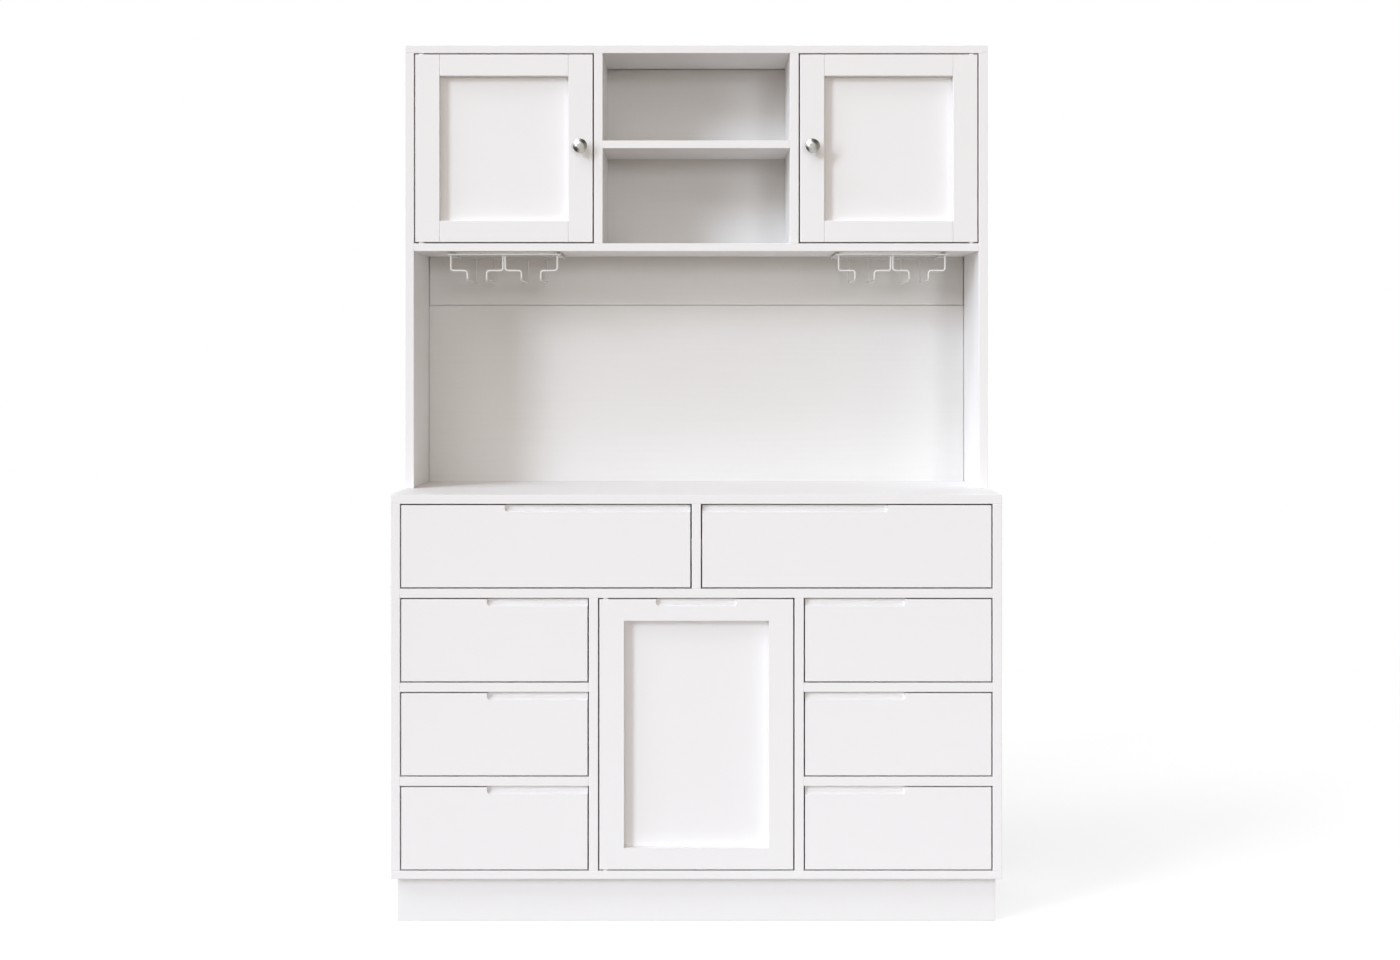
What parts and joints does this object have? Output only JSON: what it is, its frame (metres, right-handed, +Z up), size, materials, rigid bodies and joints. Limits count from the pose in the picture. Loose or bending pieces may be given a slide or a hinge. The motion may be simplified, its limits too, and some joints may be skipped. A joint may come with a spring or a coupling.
{
  "type": "kitchen buffet cabinet",
  "caption": "White lacquered kitchen buffet: a base of inset drawers with finger grooves round a framed cupboard door, and a hutch with knobbed doors, an open bay and wire stem-glass racks.",
  "frame": {"origin": "on the floor, under the middle of the base", "axes": "+X to the right as seen from the front, +Y to the back, +Z up"},
  "size_m": [1.2, 0.4, 1.755],
  "materials": {
    "lacquer_white": "satin white lacquer on fibreboard",
    "melamine_white": "white melamine foil",
    "back_board_white": "white lacquered hardboard",
    "nickel_turned": "turned satin nickel",
    "steel_zinc": "zinc plated",
    "wire_powder_white": "white powder coat",
    "nylon_white": "moulded nylon",
    "beech": "fluted beech rod"
  },
  "bodies": {
    "cabinet": {"plinth": "lacquer_white", "cupboard_shelf": "melamine_white", "shelf_pins": "steel_zinc", "glass_rack_left": "wire_powder_white", "glass_rack_right": "wire_powder_white", "wall_brackets": "steel_zinc", "runner_rails": "steel_zinc", "pivot_pins": "steel_zinc", "door_catches": "nylon_white", "screws": "steel_zinc", "dowels": "beech", "worktop": "lacquer_white", "base_bottom": "lacquer_white", "base_deck": "lacquer_white", "base_back_panel": "back_board_white", "hutch_top": "lacquer_white", "hutch_bottom": "lacquer_white", "open_shelf": "lacquer_white", "hutch_back_upper": "back_board_white", "hutch_back_lower": "back_board_white", "base_sides": "lacquer_white", "base_dividers": "lacquer_white", "front_rails": "lacquer_white", "hutch_sides": "lacquer_white", "hutch_dividers": "lacquer_white"},
    "top_left_drawer": {"top_left_drawer_front": "lacquer_white", "top_left_drawer_box": "melamine_white", "top_left_drawer_slides": "steel_zinc"},
    "top_right_drawer": {"top_right_drawer_front": "lacquer_white", "top_right_drawer_box": "melamine_white", "top_right_drawer_slides": "steel_zinc"},
    "left_lower_drawer": {"left_lower_drawer_front": "lacquer_white", "left_lower_drawer_box": "melamine_white", "left_lower_drawer_slides": "steel_zinc"},
    "right_lower_drawer": {"right_lower_drawer_front": "lacquer_white", "right_lower_drawer_box": "melamine_white", "right_lower_drawer_slides": "steel_zinc"},
    "left_middle_drawer": {"left_middle_drawer_front": "lacquer_white", "left_middle_drawer_box": "melamine_white", "left_middle_drawer_slides": "steel_zinc"},
    "right_middle_drawer": {"right_middle_drawer_front": "lacquer_white", "right_middle_drawer_box": "melamine_white", "right_middle_drawer_slides": "steel_zinc"},
    "left_upper_drawer": {"left_upper_drawer_front": "lacquer_white", "left_upper_drawer_box": "melamine_white", "left_upper_drawer_slides": "steel_zinc"},
    "right_upper_drawer": {"right_upper_drawer_front": "lacquer_white", "right_upper_drawer_box": "melamine_white", "right_upper_drawer_slides": "steel_zinc"},
    "upper_left_door": {"upper_left_door_frame": "lacquer_white", "upper_left_door_panel": "lacquer_white", "upper_left_door_knob": "nickel_turned", "upper_left_door_fittings": "nylon_white"},
    "upper_right_door": {"upper_right_door_frame": "lacquer_white", "upper_right_door_panel": "lacquer_white", "upper_right_door_knob": "nickel_turned", "upper_right_door_fittings": "nylon_white"},
    "cupboard_door": {"cupboard_door_frame": "lacquer_white", "cupboard_door_panel": "lacquer_white", "cupboard_door_fittings": "nylon_white"}
  },
  "joints": [
    {"name": "upper_left_door_hinge", "type": "hinge", "parent": "cabinet", "child": "upper_left_door", "pos_m": [-0.5673, -0.017, 1.543], "axis": [0, 0, -1], "range_deg": [0, 110]},
    {"name": "upper_right_door_hinge", "type": "hinge", "parent": "cabinet", "child": "upper_right_door", "pos_m": [0.5673, -0.017, 1.543], "axis": [0, 0, 1], "range_deg": [0, 110]},
    {"name": "cupboard_door_hinge", "type": "hinge", "parent": "cabinet", "child": "cupboard_door", "pos_m": [-0.1783, -0.193, 0.3719], "axis": [0, 0, -1], "range_deg": [0, 90]},
    {"name": "top_left_drawer_slide", "type": "slide", "parent": "cabinet", "child": "top_left_drawer", "axis": [0, -1, 0], "range_m": [0, 0.26]},
    {"name": "top_right_drawer_slide", "type": "slide", "parent": "cabinet", "child": "top_right_drawer", "axis": [0, -1, 0], "range_m": [0, 0.26]},
    {"name": "left_lower_drawer_slide", "type": "slide", "parent": "cabinet", "child": "left_lower_drawer", "axis": [0, -1, 0], "range_m": [0, 0.26]},
    {"name": "right_lower_drawer_slide", "type": "slide", "parent": "cabinet", "child": "right_lower_drawer", "axis": [0, -1, 0], "range_m": [0, 0.26]},
    {"name": "left_middle_drawer_slide", "type": "slide", "parent": "cabinet", "child": "left_middle_drawer", "axis": [0, -1, 0], "range_m": [0, 0.26]},
    {"name": "right_middle_drawer_slide", "type": "slide", "parent": "cabinet", "child": "right_middle_drawer", "axis": [0, -1, 0], "range_m": [0, 0.26]},
    {"name": "left_upper_drawer_slide", "type": "slide", "parent": "cabinet", "child": "left_upper_drawer", "axis": [0, -1, 0], "range_m": [0, 0.26]},
    {"name": "right_upper_drawer_slide", "type": "slide", "parent": "cabinet", "child": "right_upper_drawer", "axis": [0, -1, 0], "range_m": [0, 0.26]}
  ]
}
